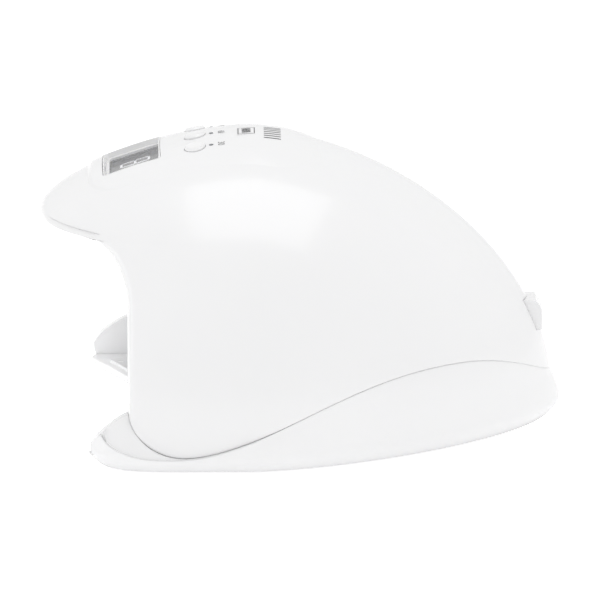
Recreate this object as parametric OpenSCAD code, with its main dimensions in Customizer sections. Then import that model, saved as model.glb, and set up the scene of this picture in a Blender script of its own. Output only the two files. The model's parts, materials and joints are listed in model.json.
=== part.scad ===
/* [Hood] */
// Greatest width of the hood
hood_w = 176; // [170:1:182]
// Height of the crest above the table
hood_top = 112.5; // [108:0.5:118]
// Rear end of the hood at its foot
hood_rear = 87; // [84:0.5:90]
// Place of the crest, and of the greatest width
crest_y = -28; // [-32:1:-24]
// Tip of the overhanging front, before rounding
beak_y = -110.5; // [-113:0.5:-107]
// Height of that tip
beak_z = 82; // [78:1:86]
// Plane of the front face around the hand opening
face_y = -76; // [-78:0.5:-74]
// Height where the front face starts to curve forward under the beak
face_top = 60; // [56:1:64]
// How far that curve reaches forward before the flat underside of the beak
face_reach = 20; // [16:1:24]
// Wall thickness of the hood
hood_wall = 2.6; // [2.2:0.1:3]

/* [Hand opening] */
// Half width of the opening at the table
door_half = 80; // [79:0.5:81]
// Height of the opening
door_top = 47; // [44:1:50]

/* [Base] */
// Greatest width of the base, at its belt
base_w = 179; // [176:1:182]
// Rear end of the base at its belt
base_rear = 90.5; // [88:0.5:93]
// Front tips of the base
base_front = -94; // [-96:0.5:-92]
// Height of the belt
belt_z = 8; // [7:0.5:9]
// Depth of the bay between the front tips
bay_depth = 28; // [24:0.5:30]
// Wall thickness of the base
base_wall = 2.6; // [2.2:0.1:3]
// Gap along the seam between hood and base
seam_gap = 0.4; // [0.3:0.1:0.8]

/* [Seam] */
// Lowest height of the hood's side edge
seam_low = 6; // [5:0.5:8]
// Greatest height of the seam, at the rear sides
seam_high = 34; // [30:1:36]
// Height of the seam at the rear end
seam_rear = 19; // [17:1:22]

/* [Controls] */
// Half width of the raised control panel
panel_half = 34; // [30:1:37]
// Front edge of the control panel
panel_front = -92; // [-94:1:-88]
// Rear edge of the control panel
panel_back = 2; // [-4:1:6]
// How far the panel stands above the hood
panel_rise = 1.2; // [0.8:0.1:1.6]
// Place of the display's middle
display_y = -74.5; // [-76:0.5:-73]
// Width of the display window
display_w = 36; // [32:1:36]
// Depth of the display window along the slope
display_l = 23; // [20:1:23]
// Place of the row of buttons
button_y = -50; // [-52:0.5:-48]
// Distance between buttons
button_pitch = 15; // [13:0.5:17]
// Button diameter
button_d = 8; // [7:0.5:9]
// How far a button can be pressed
button_travel = 0.8; // [0.5:0.1:1]

/* [Lamp cavity] */
// Half width of the lamp cavity at the front
cavity_half = 74; // [72:0.5:74]
// Height of the cavity's ceiling
cavity_top = 48; // [46:1:50]
// Rear end of the cavity
cavity_rear = 58; // [54:1:60]
// Thickness of the reflector
liner_wall = 1.6; // [1.2:0.1:1.8]
// Diameter of a lamp bead
bead_d = 5; // [4:0.5:5.5]

/* [Power socket] */
// Bore of the socket
socket_bore = 5.6; // [5.4:0.1:5.8]
// Diameter of the socket's centre contact
socket_pin = 2; // [1.9:0.05:2.1]
// Height of the socket's middle above the table
socket_z = 41.5; // [40:0.5:43]

/* [Hidden] */

// Shape constants of the dome
dome_foot = 15;
rear_curve = 1.77;
brow_curve = 1.55;
side_curve = 2;
plan_rear_curve = 1.6;
nose_low = 45;
corner_sharpness = 40;
door_curve = 3;
ring_points = 64;
body_bunching = 0.55;
big = 300;
touch = 0.1;

function clamp01(v) = min(1, max(0, v));
function oval(t, n) = pow(max(0, 1 - pow(clamp01(t), n)), 1 / n);
function along(y, from, to) = clamp01((y - from) / (to - from));

// Section of the dome at height z, seen from above, as a radius about (0, crest_y)
function rise(z, g) = clamp01((z - dome_foot) / (hood_top + g - dome_foot));
function half_at(z, g) = (hood_w / 2 + g) * oval(rise(z, g), side_curve);
function rear_at(z, g) = (hood_rear + g - crest_y) * oval(rise(z, g), rear_curve);
function brow_at(z, g) = (crest_y - beak_y + g)
    * oval(along(z, beak_z, hood_top + g), brow_curve);
function nose_curve(z) = 3 - 0.8 * along(z, nose_low, beak_z);
function body_radius(a, z, g) =
    let (n = sin(a) > 0 ? plan_rear_curve : nose_curve(z))
    let (b = sin(a) > 0 ? rear_at(z, g) : brow_at(z, g))
    1 / pow(pow(abs(cos(a)) / max(half_at(z, g), 0.01), n) + pow(abs(sin(a)) / max(b, 0.01), n),
        1 / n);
// Distance of the front face: upright, then a quarter curve, then the flat underside of the beak
underside = 0.6;
underside_reach = 4;
function face_depth(z, g) = crest_y - face_y + g
    + face_reach * (1 - oval(along(z + g, face_top, beak_z), 2))
    + (face_y - face_reach - beak_y + underside_reach) * along(z + g, beak_z - underside, beak_z)
    + max(0, z + g - beak_z) * 3;
function face_radius(a, z, g) = face_depth(z, g) / max(-sin(a), 0.0001);
function ring_radius(a, z, g) = sin(a) > 0 ? body_radius(a, z, g)
    : pow(pow(body_radius(a, z, g), -corner_sharpness)
        + pow(face_radius(a, z, g), -corner_sharpness), -1 / corner_sharpness);
function ring_point(a, z, g) = let (r = ring_radius(a, z, g))
    [r * cos(a), crest_y + r * sin(a), z];

// A ring runs round the body from one front corner to the other, then back across the front face
function corner_of(z, g) =
    let (level = min(z, beak_z - g - underside))
    let (depth = face_depth(level, g))
    [half_at(level, g) * oval(depth / brow_at(level, g), nose_curve(level)), depth];
function body_share(u) = u - body_bunching * sin(720 * u) / (4 * PI);
function ring(z, g, points) =
    let (c = corner_of(z, g))
    let (dip = atan2(c[1], c[0]))
    let (body_count = 2 * round(points * 0.34))
    let (face_count = points - body_count)
    concat([for (i = [0:body_count]) ring_point((180 + 2 * dip) * body_share(i / body_count) - dip, z, g)],
        [for (i = [1:face_count - 1]) ring_point(atan2(-c[1], -c[0] * cos(180 * i / face_count)), z, g)]);

// Height of the dome above a point of the plan, found by halving
function dome_inside(x, y, z, g) =
    norm([x, y - crest_y]) < ring_radius(atan2(y - crest_y, x), z, g);
function dome_height(x, y, g, lo = 60, hi = 125, n = 22) = n == 0 ? lo
    : let (m = (lo + hi) / 2)
    dome_inside(x, y, m, g) ? dome_height(x, y, g, m, hi, n - 1) : dome_height(x, y, g, lo, m, n - 1);
// Slopes of the dome in degrees at a point of the plan
function pitch_at(x, y) = atan((dome_height(x, y + 3, 0) - dome_height(x, y - 3, 0)) / 6);
function roll_at(x, y) = atan((dome_height(x - 3, y, 0) - dome_height(x + 3, y, 0)) / 6);

// Height of the seam between hood and base at a place along the length
corner_y = -55;
seam_peak_y = 44;
seam_corner = 18;
seam_ease = 0.85;
seam_fall = 2.3;
function seam_at(y) = y < corner_y
    ? seam_low + seam_corner - seam_corner * oval((y - corner_y) / (face_y - corner_y), 2)
    : y < seam_peak_y
    ? seam_low + (seam_high - seam_low)
        * (1 - cos(180 * pow(along(y, corner_y, seam_peak_y), seam_ease))) / 2
    : seam_high - (seam_high - seam_rear) * pow(along(y, seam_peak_y, hood_rear), seam_fall);

// A closed skin over rings that all hold the same number of points
module skin(rings) {
    m = len(rings[0]);
    n = len(rings);
    walls = [for (i = [0:n - 2]) for (j = [0:m - 1])
        [i * m + j, (i + 1) * m + j, (i + 1) * m + (j + 1) % m, i * m + (j + 1) % m]];
    halves = [for (q = walls) each [[q[0], q[1], q[2]], [q[0], q[2], q[3]]]];
    polyhedron([for (r = rings) each r],
        concat([[for (j = [0:m - 1]) j]], halves, [[for (j = [m - 1:-1:0]) (n - 1) * m + j]]));
}

// Heights of the dome's rings
under_rings = 8;
wall_rings = 6;
last_rise = 88.5;
function dome_levels(g, low, count) =
    let (lip = beak_z - g)
    let (bend = face_top - g)
    let (lip_rise = asin((lip - dome_foot) / (hood_top + g - dome_foot)))
    concat([for (i = [0:wall_rings]) low + (bend - low) * i / (wall_rings + 1)],
        [for (i = [0:under_rings])
            lip - underside - (lip - underside - bend) * cos(90 * i / under_rings)],
        [for (i = [0:count])
            dome_foot + (hood_top + g - dome_foot) * sin(lip_rise + (last_rise - lip_rise) * i / count)]);

// The dome as a solid: g grows it outward, or inward where negative
module dome(g, low = 0, count = 12, points = ring_points) {
    skin([for (z = dome_levels(g, low, count)) ring(z, g, points)]);
}

// Everything below the seam, shifted by a height
module below_seam(shift) {
    steps = 40;
    ys = [for (i = [0:steps]) face_y + 0.01 + (hood_rear + 20 - face_y) * i / steps];
    rotate([90, 0, 90]) linear_extrude(big, center = true)
        polygon(concat([[-big, -big], [-big, seam_at(face_y + 0.01) + shift]],
            [for (y = ys) [y, seam_at(y) + shift]], [[big, seam_rear + shift], [big, -big]]));
}

// The outline of the hand opening, seen from the front
module door_outline(grow) {
    half = door_half + grow;
    top = door_top + grow;
    steps = 24;
    polygon(concat([[half, -10]],
        [for (i = [0:steps]) let (a = 90 * i / steps)
            [half * pow(cos(a), 2 / door_curve), top * pow(sin(a), 2 / door_curve)]],
        [for (i = [steps:-1:0]) let (a = 90 * i / steps)
            [-half * pow(cos(a), 2 / door_curve), top * pow(sin(a), 2 / door_curve)]],
        [[-half, -10]]));
}

module door(grow, from, to) {
    translate([0, to, 0]) rotate([90, 0, 0]) linear_extrude(to - from) door_outline(grow);
}

// Pairs of fixing places, each one mirrored about the middle
function both(spots) = [for (s = spots) each [s, [-s[0], s[1]]]];
screw_spots = both([[80.4, -50], [64.5, 22]]);
catch_spots = both([[79, -31], [55, 33]]);
flange_z = 10;
flange_t = 1.6;
flange_front = -64;
post_d = 6;
board_post_d = 5;
screw_d = 2.6;
head_d = 4.6;
head_h = 1.6;

module on_spots(spots, z) {
    for (s = spots) translate([s[0], s[1], z]) children();
}

module screw(length) {
    cylinder(h = length, d = screw_d, $fn = 24);
    translate([0, 0, -head_h]) difference() {
        cylinder(h = head_h, d = head_d, $fn = 24);
        translate([0, 0, -touch]) cylinder(h = 0.9, d = 2, $fn = 6);
    }
}

// Places given in the panel's local frame at a point of the plan, with +Z outward
module on_dome(x, y, g = 0) {
    translate([x, y, dome_height(x, y, g)])
        rotate([pitch_at(x, y), roll_at(x, y), 0]) children();
}

module rounded_plate(w, l, t, r) {
    linear_extrude(t) {
        square([w - 2 * r, l], center = true);
        square([w, l - 2 * r], center = true);
        for (x = [-1, 1]) for (y = [-1, 1])
            translate([x * (w / 2 - r), y * (l / 2 - r)]) circle(r, $fn = 32);
    }
}

// Places of the buttons, left, middle and right as the user faces the hand opening
button_x = [-button_pitch, 0, button_pitch];
button_hole = button_d + 0.8;
pipe_y = button_y + 6.2;
pipe_d = 1.4;

module panel_openings() {
    on_dome(0, display_y) translate([0, 0, -15])
        rounded_plate(display_w + 0.4, display_l + 0.4, 30, 2);
    for (x = button_x) on_dome(x, button_y) cylinder(h = 30, d = button_hole, center = true, $fn = 32);
    for (x = button_x) on_dome(x, pipe_y) cylinder(h = 30, d = pipe_d + 0.3, center = true, $fn = 16);
}

socket_w = 15;
socket_h = 11.5;
socket_rear = 83.3;
socket_drop = 1;

module socket_gap() {
    translate([-socket_w / 2 - 0.2, 60, socket_z - socket_h / 2 - 0.2])
        cube([socket_w + 0.4, 40, socket_h + 0.4]);
}

module hood_shell() color("white") row() {
    resize([0, 0, 0]) difference() {
        union() {
            difference() {
                dome(0);
                dome(-hood_wall, low = -1, count = 10, points = 48);
            }
            intersection() {
                dome(-hood_wall / 2, low = 0, count = 6, points = 48);
                union() {
                    on_spots(screw_spots, flange_z + flange_t + touch)
                        cylinder(h = 90, d = post_d, $fn = 20);
                    on_board() on_spots(board_screw_spots, 0.02)
                        cylinder(h = 30, d = board_post_d, $fn = 20);
                }
            }
        }
        on_spots(screw_spots, 0) cylinder(h = 26, d = screw_d + 0.3, $fn = 20);
        on_board() on_spots(board_screw_spots, -1)
            cylinder(h = board_screw_l + 1, d = screw_d + 0.3, $fn = 20);
        door(0, -big, -60);
        below_seam(seam_gap / 2);
        panel_openings();
        socket_gap();
    }
}

// Reflector: arched sections from the hand opening back to a rounded end
cavity_front = face_y + hood_wall + 0.2;
flare = 3;
flare_depth = 9;
end_curve = 0.7;
ceiling_curve = 0.75;

module cavity(grow, foot) {
    steps = 16;
    arc = 20;
    skin([for (i = [0:steps])
        let (u = 88 * i / steps)
        let (y = cavity_front + (cavity_rear - cavity_front + grow) * sin(u))
        let (mouth = flare * exp(-(y - cavity_front) / flare_depth))
        let (half = cavity_half * pow(cos(u), end_curve) + mouth + grow)
        let (top = foot + (cavity_top + grow - foot) * pow(cos(u), ceiling_curve))
        [for (j = [0:arc]) let (a = 180 * j / arc)
            [-half * sign(cos(a)) * pow(abs(cos(a)), 2 / door_curve), y,
                foot + (top - foot) * pow(sin(a), 2 / door_curve)]]]);
}

// Flange that closes the lamp space from below; it passes up through the base's rim
flange_gap = 0.5;
module flange_outline() {
    steps = 48;
    polygon([for (i = [0:steps])
        let (a = -40 + 260 * i / steps)
        let (p = ring_point(a, flange_z, -hood_wall - 1.2))
        let (rim = base_radius(a, seam_at(p[1]), -base_wall - flange_gap))
        let (r = min(norm([p[0], p[1] - crest_y]), rim))
        [r * cos(a), max(crest_y + r * sin(a), flange_front)]]);
}

// Lamp beads: each row gives a place and the direction that the bead shines along
ceiling_x = [-40, -20, 0, 20, 40];
ceiling_y = [-52, -24, 4];
ceiling_z = 46;
wall_bead_y = [-39, -23, -7, 9];
wall_bead_z = 25;
rear_bead_x = [-16, 0, 16];
bead_l = 5.4;
board_t = 1.6;
ceiling_board_z = ceiling_z + bead_l;
wall_board_x = 76.5;
rear_board_y = 63;

module on_ceiling() {
    for (x = ceiling_x) for (y = ceiling_y)
        translate([x, y, ceiling_board_z]) rotate([180, 0, 0]) children();
}

// Side boards stand upright and turn with the walls
side_board_turn = 9;
module side_frame(side) {
    mirror([side < 0 ? 1 : 0, 0, 0])
        translate([wall_board_x, -20, wall_bead_z]) rotate([0, 0, side_board_turn]) children();
}

module on_side(side) {
    side_frame(side) for (y = wall_bead_y) translate([0, y + 20, 0]) rotate([0, -90, 0]) children();
}

rear_bead_z = 22;
module on_rear() {
    for (x = rear_bead_x) translate([x, rear_board_y, rear_bead_z]) rotate([90, 0, 0]) children();
}

module on_every_bead() {
    on_ceiling() children();
    on_side(1) children();
    on_side(-1) children();
    on_rear() children();
}

bead_hole_deep = 16;
module liner() color("gainsboro") row() {
    resize([0, 0, 0]) difference() {
        union() {
            intersection() {
                cavity(liner_wall, flange_z);
                dome(-hood_wall - 0.25, count = 10, points = 48);
            }
            translate([0, 0, flange_z]) linear_extrude(flange_t) flange_outline();
        }
        translate([0, -touch, -touch]) cavity(0, flange_z);
        on_spots(screw_spots, 0) cylinder(h = 20, d = screw_d + 0.3, $fn = 20);
        on_spots(catch_spots, flange_z - touch) cylinder(h = 1.1, d = magnet_d + 0.3, $fn = 24);
        on_every_bead() translate([0, 0, -2]) cylinder(h = bead_hole_deep, d = bead_d + 0.6, $fn = 14);
        for (x = sensor_x) translate([x, sensor_y, ceiling_z - 5])
            cylinder(h = 12, d = sensor_d + 0.5, $fn = 14);
        horn_notch();
    }
}

// The base's horns stand in front of this notch
horn_rear = -66;
notch_top = 23;
module horn_notch() {
    translate([-big / 2, -big, -1]) cube([big, big + horn_rear + 0.6, notch_top + 1]);
}

module led_board_top() color("silver") row() {
    translate([-48, -62, ceiling_board_z]) cube([96, 76, board_t]);
}

module side_board() {
    translate([0, -25, -9]) cube([board_t, 54, 18]);
}

module led_board_left() color("silver") row() side_frame(-1) side_board();
module led_board_right() color("silver") row() side_frame(1) side_board();

module led_board_rear() color("silver") row() {
    translate([-22, rear_board_y, rear_bead_z - 7]) cube([44, board_t, 14]);
}

module bead() {
    cylinder(h = bead_l - bead_d / 2, d = bead_d, $fn = 24);
    translate([0, 0, bead_l - bead_d / 2]) sphere(d = bead_d, $fn = 24);
}

module led_beads() color("lightyellow") row() {
    on_every_bead() translate([0, 0, 0.02]) bead();
}

// Motion sensor: a pair of small windows in the ceiling close to the opening
sensor_y = -66;
sensor_x = [-9, 9];
sensor_d = 4;
module motion_sensor() color("black") row() {
    for (x = sensor_x) translate([x, sensor_y, ceiling_board_z - 1]) {
        cylinder(h = 4, d = sensor_d, $fn = 24);
        sphere(d = sensor_d, $fn = 24);
    }
}

// Base
belt_half = base_w / 2;
foot_tuck = 3.5;
rear_tuck = 6.5;
front_tuck = 5.5;
plan_base_curve = 1.48;
plan_front_curve = 7;
deck_z = 5;
deck_t = 1.8;
base_top = 37;
base_low = 0.8;
base_rings = 16;
blend_top = 22;

function tuck(z) = pow(1 - clamp01(z / belt_z), 2);
function base_half_at(z, g) = belt_half - foot_tuck * tuck(z) + g;
function belt_radius(a, z, g) =
    let (rear = sin(a) > 0)
    let (n = rear ? plan_base_curve : plan_front_curve)
    let (b = rear ? base_rear - crest_y - rear_tuck * tuck(z) + g
        : crest_y - base_front - front_tuck * tuck(z) + g)
    1 / pow(pow(abs(cos(a)) / base_half_at(z, g), n) + pow(abs(sin(a)) / b, n), 1 / n);
function blend(z) = let (t = along(z, belt_z, blend_top)) t * t * (3 - 2 * t);
function base_radius(a, z, g) = sin(a) > 0
    ? belt_radius(a, z, g) * (1 - blend(z)) + ring_radius(a, z, g - 0.3) * blend(z)
    : belt_radius(a, z, g);

function base_level(from, to, i, count) = from + (to - from) * i / count;
module base_solid(g, from, to, count, points = ring_points) {
    skin([for (i = [0:count]) let (z = base_level(from, to, i, count))
        [for (j = [0:points - 1]) let (a = 360 * j / points)
            [base_radius(a, z, g) * cos(a), crest_y + base_radius(a, z, g) * sin(a), z]]]);
}

// Bay between the front tips: wide at the front, shallow toward the middle, and undercut below its lip
bay_half = 77;
bay_curve = 1.5;
bay_lip = 0.6;
bay_tuck = 4;
function bay_y(x) = base_front + bay_depth * (1 - pow(clamp01(abs(x) / bay_half), bay_curve));
module bay() {
    steps = 24;
    lip_z = deck_z - bay_lip;
    skin([for (z = [-1, lip_z, base_top])
        let (back = bay_tuck * clamp01((lip_z - z) / lip_z))
        concat([[bay_half, base_front - 20, z]],
            [for (i = [steps:-1:-steps]) let (x = bay_half * i / steps) [x, bay_y(x) + back, z]],
            [[-bay_half, base_front - 20, z]])]);
}

// Side view of the base's rim: a toe in front, then the seam
toe = [[-100, -5], [-92.5, 6], [-90.6, 9], [-88.4, 12.5], [-86.6, 14.6], [-85.8, 15],
    [-85.2, 13.1], [-82.8, 10.4], [-78.2, 8.2], [-73, 6.6], [-66, 5.4], [-55, 5.1]];
module rim_profile() {
    steps = 30;
    rotate([90, 0, 90]) linear_extrude(big, center = true) polygon(concat(toe,
        [for (i = [1:steps]) let (y = corner_y + (hood_rear + 10 - corner_y) * i / steps)
            [y, seam_at(y) - seam_gap / 2]],
        [[big, seam_rear], [big, -5]]));
}

// Horns: the front corners between the arch of the hand opening and the outer wall
horn_side = [[-93.5, 3.4], [-93.5, 5], [-90.4, 8.4], [-88.5, 12.3], [-84.6, 15.9], [-80.7, 18.8],
    [-77, 20.9], [-73.5, 22], [-52, 22], [-52, 3.4]];
horn_y = [-54, -93];
horn_inner = 73.2;
horn_low = 3.3;
horn_top = 26;
horn_slope = 0.6;
horn_sink = 0.45;
horn_t = 2;
horn_gap = 0.9;
rim_t = 1.1;
toe_merge = [84, 88];
toe_overlap = 5;
function wall_x(y) = belt_half * oval((crest_y - y) / (crest_y - base_front), plan_front_curve);
function horn_outer(y) = max(horn_inner + 3,
    wall_x(y) - rim_t + toe_overlap * along(-y, toe_merge[0], toe_merge[1]));
module horn() {
    steps = 14;
    slopes = 4;
    skin([for (i = [0:steps])
        let (y = horn_y[0] + (horn_y[1] - horn_y[0]) * i / steps)
        let (outer = horn_outer(y))
        let (rim = lookup(y, toe) - horn_sink)
        let (side = [for (k = [0:slopes]) let (h = (horn_top - rim) * k / slopes)
            [max(horn_inner + 1, outer - horn_slope * h), y, rim + h]])
        concat([[horn_inner, y, horn_low], [outer, y, horn_low]], side, [[horn_inner, y, horn_top]])]);
}

module horns() {
    difference() {
        intersection() {
            union() {
                horn();
                mirror([1, 0, 0]) horn();
            }
            union() {
                below_seam(-seam_gap / 2);
                door(-horn_gap, -95, horn_rear);
            }
            rotate([90, 0, 90]) linear_extrude(big, center = true) polygon(horn_side);
            base_solid(-0.8, 1, 30, 6, 48);
        }
        door(-horn_gap - horn_t, -96, -40);
    }
}

magnet_d = 7;
magnet_h = 2;
magnet_post_d = 10;
magnet_post_top = flange_z - 0.4;
foot_spots = both([[66, -46], [36, 38]]);
foot_d = 12;
cover_spots = both([[30, -48], [26, 48]]);
cover_z = 1.2;
cover_t = 1.7;
hollow_front = -58;

module hollow_plan(g) {
    steps = 60;
    polygon([for (i = [0:steps - 1]) let (a = 360 * i / steps)
        let (r = belt_radius(a, 0, -3.5 + g))
        [r * cos(a), max(crest_y + r * sin(a), hollow_front - g)]]);
}

module base_shell() color("whitesmoke") row() {
    resize([0, 0, 0]) difference() {
        union() {
            difference() {
                intersection() {
                    base_solid(0, base_low, base_top, base_rings);
                    rim_profile();
                }
                base_solid(-base_wall, deck_z, base_top + 1, 8, 48);
                translate([0, 0, -1]) linear_extrude(deck_z - deck_t + 1) hollow_plan(0);
            }
            horns();
            on_spots(catch_spots, deck_z - touch)
                cylinder(h = magnet_post_top - deck_z + touch, d = magnet_post_d, $fn = 24);
            on_spots(cover_spots, cover_z + cover_t + 0.02)
                cylinder(h = deck_z - cover_z - cover_t - 0.5, d = 7, $fn = 20);
        }
        bay();
        on_spots(catch_spots, magnet_post_top - magnet_h - 0.05)
            cylinder(h = 5, d = magnet_d + 0.2, $fn = 24);
        on_spots(cover_spots, 0) cylinder(h = deck_z - 0.5, d = screw_d + 0.3, $fn = 20);
    }
}

floor_t = 1.2;
floor_half = 72;
floor_corner = 9;
floor_curve = 0.9;
function floor_edge(a) = horn_rear + (cavity_rear - horn_rear) * pow(sin(a), floor_curve);
module base_floor() color("white") row() {
    steps = 20;
    rim = 3;
    translate([0, 0, deck_z + 0.05]) linear_extrude(floor_t) polygon(concat(
        [for (i = [-steps:steps]) let (x = (floor_half - floor_corner) * i / steps) [x, bay_y(x) + rim]],
        [for (i = [0:steps]) let (a = 90 * i / steps)
            [floor_half * pow(cos(a), floor_curve), floor_edge(a)]],
        [for (i = [steps:-1:0]) let (a = 90 * i / steps)
            [-floor_half * pow(cos(a), floor_curve), floor_edge(a)]]));
}

foot_sink = 0.8;
base_head_h = 1;
module bottom_cover() color("white") row() {
    translate([0, 0, cover_z]) difference() {
        linear_extrude(cover_t) hollow_plan(-0.3);
        on_spots(cover_spots, -1) cylinder(h = 5, d = screw_d + 0.3, $fn = 24);
        on_spots(cover_spots, -1) cylinder(h = 1 + base_head_h, d = head_d + 0.4, $fn = 24);
        on_spots(foot_spots, -1) cylinder(h = 1 + foot_sink + 0.05, d = foot_d + 0.4, $fn = 32);
    }
}

module base_magnets() color("silver") row() {
    on_spots(catch_spots, magnet_post_top - magnet_h) cylinder(h = magnet_h, d = magnet_d, $fn = 32);
}

module rubber_feet() color("dimgray") row() {
    on_spots(foot_spots, 0) cylinder(h = cover_z + foot_sink, d = foot_d, $fn = 32);
}

module base_screws() color("silver") row() {
    on_spots(cover_spots, cover_z + base_head_h - 0.02) {
        cylinder(h = deck_z - cover_z - base_head_h - 0.6, d = screw_d, $fn = 24);
        translate([0, 0, 0.02 - base_head_h]) cylinder(h = base_head_h - 0.02, d = head_d, $fn = 24);
    }
}

module catch_discs() color("silver") row() {
    on_spots(catch_spots, flange_z) cylinder(h = 0.9, d = magnet_d, $fn = 32);
}

module hood_screws() color("silver") row() {
    on_spots(screw_spots, flange_z - 0.02) screw(12);
}

// The origin lies under the middle of the whole length
front_end = min([for (z = dome_levels(0, 0, 12)) ring_point(270, z, 0)[1]]);
rear_end = max([for (i = [0:base_rings])
    crest_y + base_radius(90, base_level(base_low, base_top, i, base_rings), 0)]);
module row() {
    translate([0, -(front_end + rear_end) / 2, 0]) children();
}

// Control panel and what it holds
module panel_plan() {
    w = panel_half;
    l = panel_back - panel_front;
    r = 22;
    translate([0, 0, beak_z + 2]) linear_extrude(60) {
        for (x = [-1, 1]) {
            translate([x * (w - r), panel_front + r]) circle(r, $fn = 64);
            translate([x * (w - r), panel_back - r]) circle(r, $fn = 64);
        }
        translate([r - w, panel_front]) square([2 * (w - r), l]);
        translate([-w, panel_front + r]) square([2 * w, l - 2 * r]);
    }
}

module control_panel() color("white") row() {
    resize([0, 0, 0]) difference() {
        intersection() {
            dome(panel_rise);
            panel_plan();
        }
        dome(0.06);
        panel_openings();
    }
}

// Frame, window and digit module, one above the other in the display opening
bezel_t = 2.4;
bezel_rim = 1.6;
bezel_sink = 3.8;
module display_bezel() color("white") row() {
    on_dome(0, display_y) translate([0, 0, -bezel_t - bezel_sink + panel_rise]) difference() {
        rounded_plate(display_w, display_l, bezel_t, 1.8);
        translate([0, 0, -1]) rounded_plate(display_w - 2 * bezel_rim, display_l - 2 * bezel_rim, 5, 1.2);
    }
}

lens_t = 1;
module display_lens() color("gray") row() {
    on_dome(0, display_y) translate([0, 0, -bezel_t - bezel_sink + panel_rise + 0.4])
        rounded_plate(display_w - 2 * bezel_rim - 0.2, display_l - 2 * bezel_rim - 0.2, lens_t, 1.1);
}

module_h = 7.5;
module display_module() color("dimgray") row() {
    stand_on_board() on_dome(0, display_y)
        translate([0, 0, panel_rise - bezel_t - bezel_sink - module_h - 0.2])
            rounded_plate(display_w - 5, display_l - 4, module_h, 0.5);
}

// One board carries the digit module and the switches
board_front = [-85, 92.4];
board_back = [-38, 102.8];
board_w = 50;
board_tilt = atan((board_back[1] - board_front[1]) / (board_back[0] - board_front[0]));
board_len = norm(board_back - board_front);
board_edge = 4;
board_screw_x = 22;
board_screw_l = 4;
module on_board() {
    translate([0, board_front[0], board_front[1]]) rotate([board_tilt, 0, 0]) children();
}
board_screw_spots = both([[board_screw_x, board_edge], [board_screw_x, board_len - board_edge]]);
module control_board() color("darkgreen") row() {
    on_board() difference() {
        translate([-board_w / 2, 0, -board_t]) cube([board_w, board_len, board_t]);
        on_spots(board_screw_spots, -5) cylinder(h = 10, d = screw_d + 0.2, $fn = 24);
    }
}

// Height just under the board, where wires end
function board_under(y) = board_front[1] + (y - board_front[0]) * tan(board_tilt) - board_t - 0.9;

// Parts that stand on the board are cut flush with its top
module stand_on_board() {
    difference() {
        children();
        on_board() translate([-big / 2, -big / 2, 0.02 - big]) cube(big);
    }
}

module board_screws() color("silver") row() {
    on_board() on_spots(board_screw_spots, -board_t - 0.02) screw(board_screw_l);
}

// Switches stand on the board under the buttons
switch_w = 6;
switch_sink = 8;
plunger_d = 3;
plunger_l = 4;
plunger_seat = 1.2;
cap_t = 3.4;
cap_chamfer = 0.8;
button_stand = 1;
cap_low = panel_rise + button_stand - cap_t;
plunger_low = cap_low - plunger_l;
module at_button(x) {
    on_dome(x, button_y) children();
}

module switch_body(x) {
    top = plunger_low + plunger_seat;
    stand_on_board() at_button(x) difference() {
        translate([-switch_w / 2, -switch_w / 2, top - switch_sink])
            cube([switch_w, switch_w, switch_sink]);
        translate([0, 0, plunger_low - button_travel - 0.4]) cylinder(h = 9, d = plunger_d + 0.1, $fn = 32);
    }
}

module switch_bodies() color("black") row() {
    for (x = button_x) switch_body(x);
}

module button(x) {
    at_button(x) translate([0, 0, cap_low]) {
        cylinder(h = cap_t - cap_chamfer, d = button_d, $fn = 48);
        translate([0, 0, cap_t - cap_chamfer])
            cylinder(h = cap_chamfer, d1 = button_d, d2 = button_d - 1.4, $fn = 48);
    }
}

module plunger(x) {
    at_button(x) translate([0, 0, plunger_low]) cylinder(h = plunger_l - 0.02, d = plunger_d, $fn = 32);
}

module button_left() color("white") row() button(button_x[0]);
module button_middle() color("white") row() button(button_x[1]);
module button_right() color("white") row() button(button_x[2]);
module plunger_left() color("dimgray") row() plunger(button_x[0]);
module plunger_middle() color("dimgray") row() plunger(button_x[1]);
module plunger_right() color("dimgray") row() plunger(button_x[2]);

module light_pipes() color("azure") row() {
    for (x = button_x) on_dome(x, pipe_y)
        translate([0, 0, panel_rise - 5.9]) cylinder(h = 6, d = pipe_d, $fn = 24);
}

// Socket in the block at the rear end
module socket_housing() color("white") row() {
    block_l = 13;
    chamfer = 3.5;
    difference() {
        rotate([90, 0, 90]) translate([0, 0, -socket_w / 2]) linear_extrude(socket_w)
            polygon([[socket_rear - block_l, socket_z - socket_h / 2],
                [socket_rear, socket_z - socket_h / 2],
                [socket_rear, socket_z + socket_h / 2 - chamfer],
                [socket_rear - chamfer * 0.7, socket_z + socket_h / 2],
                [socket_rear - block_l, socket_z + socket_h / 2]]);
        translate([0, socket_rear + 1, socket_z - socket_drop]) rotate([90, 0, 0])
            cylinder(h = 11, d = socket_bore, $fn = 48);
    }
}

module socket_contact() color("gold") row() {
    translate([0, socket_rear - 1, socket_z - socket_drop]) rotate([90, 0, 0])
        cylinder(h = 8.98, d = socket_pin, $fn = 32);
}

// Wires run as straight lengths with round elbows
module wire(path, d) {
    for (i = [0:len(path) - 2]) {
        step = path[i + 1] - path[i];
        translate(path[i]) rotate([0, acos(step[2] / norm(step)), atan2(step[1], step[0])])
            cylinder(h = norm(step), d = d, $fn = 16);
    }
    for (i = [1:len(path) - 2]) translate(path[i]) sphere(d = d * 1.2, $fn = 16);
}

wire_d = 1.4;
wire_end_y = -42;
module power_wires() color("firebrick") row() {
    for (x = [-2, 2]) wire([[x, socket_rear - 14, socket_z], [x, 52, 58], [x, 10, 84], [x, -34, 92],
        [x, wire_end_y, board_under(wire_end_y)]], wire_d);
}

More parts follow.
